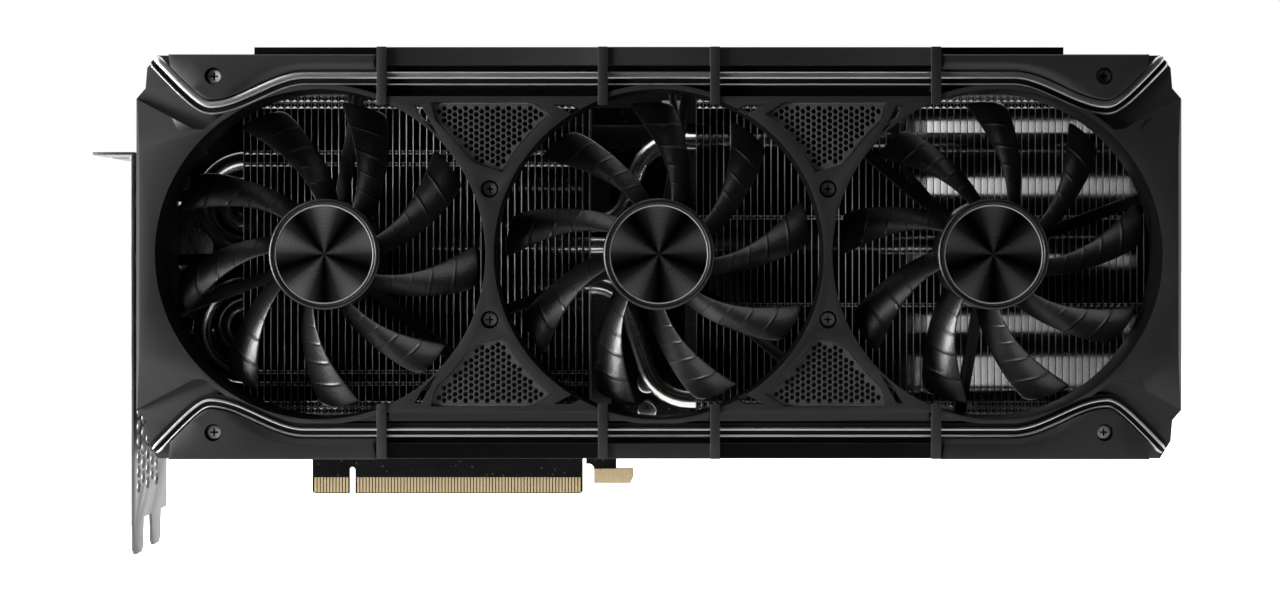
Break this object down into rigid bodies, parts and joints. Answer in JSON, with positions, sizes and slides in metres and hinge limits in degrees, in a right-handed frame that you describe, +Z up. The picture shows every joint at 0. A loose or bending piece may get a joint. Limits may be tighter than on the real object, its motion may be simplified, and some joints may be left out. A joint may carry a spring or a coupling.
{
  "type": "graphics card",
  "caption": "Thick desktop expansion card with a plastic fan cover, finned heatsink, circuit board with a contact edge, and a steel slot bracket.",
  "frame": {"origin": "centre of the key notch in the contact edge, in the board's mid-plane, at the bottom edge of the tongue", "axes": "+X along the card away from the bracket, +Y from the fans to the back plate, +Z up, away from the slot"},
  "size_m": [0.3209, 0.0586, 0.1501],
  "materials": {
    "shroud_plastic": "fine-textured moulded plastic",
    "frame_plastic": "fine-textured moulded plastic",
    "insert_plastic": "fine-textured moulded plastic with hexagonal dimples",
    "trim_chrome": "dark chrome plating",
    "black_screw": "black zinc",
    "impeller_plastic": "satin moulded plastic",
    "disc_metal": "spun, dark anodised",
    "shaft_steel": "ground",
    "magnet_ferrite": "moulded ferrite",
    "stator_copper": "enamelled copper wire on a steel core",
    "bearing_bronze": "sintered",
    "mount_plastic": "moulded",
    "lead_rubber": "sleeved wires",
    "header_plastic": "moulded nylon",
    "fin_aluminium": "rolled sheet",
    "pipe_nickel": "nickel plated",
    "plate_copper": "nickel-plated copper",
    "frame_aluminium": "die-cast",
    "board_laminate": "black solder mask on laminate",
    "contact_gold": "hard gold plating",
    "package_substrate": "green laminate with a silicon die",
    "chip_epoxy": "moulded epoxy",
    "pad_silicone": "soft silicone",
    "choke_ferrite": "pressed powder",
    "can_aluminium": "drawn can",
    "socket_plastic": "moulded nylon",
    "port_steel": "tin-plated shell",
    "backplate_metal": "black brushed aluminium",
    "spring_steel": "stamped",
    "bracket_steel": "bare, nickel plated"
  },
  "bodies": {
    "root": {"front_shroud": "shroud_plastic", "corner_plate_top_left": "frame_plastic", "corner_plate_top_right": "frame_plastic", "corner_plate_bottom_left": "frame_plastic", "corner_plate_bottom_right": "frame_plastic", "top_trim_strip": "trim_chrome", "bottom_trim_strip": "trim_chrome", "top_cross_frame": "frame_plastic", "bottom_cross_frame": "frame_plastic", "mesh_inserts_upper": "insert_plastic", "mesh_inserts_lower": "insert_plastic", "shroud_screws": "black_screw", "left_stator": "stator_copper", "left_bearing": "bearing_bronze", "left_motor_mount": "mount_plastic", "centre_stator": "stator_copper", "centre_bearing": "bearing_bronze", "centre_motor_mount": "mount_plastic", "right_stator": "stator_copper", "right_bearing": "bearing_bronze", "right_motor_mount": "mount_plastic", "motor_screws": "black_screw", "fan_leads": "lead_rubber", "fan_headers": "header_plastic", "fin_stack_left": "fin_aluminium", "fin_stack_right": "fin_aluminium", "heat_pipes_upper": "pipe_nickel", "heat_pipes_lower": "pipe_nickel", "cold_plate": "plate_copper", "heatsink_frame": "frame_aluminium", "circuit_board": "board_laminate", "edge_contacts": "contact_gold", "gpu_package": "package_substrate", "memory_chips": "chip_epoxy", "thermal_pads": "pad_silicone", "chokes": "choke_ferrite", "power_stages": "chip_epoxy", "can_capacitors": "can_aluminium", "power_sockets": "socket_plastic", "display_ports": "port_steel", "hdmi_port": "port_steel", "switch_body": "port_steel", "backplate": "backplate_metal", "rear_screws": "black_screw", "retention_spring": "spring_steel", "io_bracket": "bracket_steel", "bracket_screws": "black_screw"},
    "left_rotor": {"left_impeller": "impeller_plastic", "left_hub_disc": "disc_metal", "left_shaft": "shaft_steel", "left_magnet_ring": "magnet_ferrite"},
    "centre_rotor": {"centre_impeller": "impeller_plastic", "centre_hub_disc": "disc_metal", "centre_shaft": "shaft_steel", "centre_magnet_ring": "magnet_ferrite"},
    "right_rotor": {"right_impeller": "impeller_plastic", "right_hub_disc": "disc_metal", "right_shaft": "shaft_steel", "right_magnet_ring": "magnet_ferrite"},
    "slider": {"switch_slider": "socket_plastic"}
  },
  "joints": [
    {"name": "fan_left_spin", "type": "hinge", "parent": "root", "child": "left_rotor", "pos_m": [-0.0014, -0.04, 0.0756], "axis": [0, 1, 0], "continuous": true},
    {"name": "fan_centre_spin", "type": "hinge", "parent": "root", "child": "centre_rotor", "pos_m": [0.097, -0.04, 0.0756], "axis": [0, 1, 0], "continuous": true},
    {"name": "fan_right_spin", "type": "hinge", "parent": "root", "child": "right_rotor", "pos_m": [0.1954, -0.04, 0.0756], "axis": [0, 1, 0], "continuous": true},
    {"name": "bios_switch_travel", "type": "slide", "parent": "root", "child": "slider", "axis": [1, 0, 0], "range_m": [0, 0.002]}
  ]
}
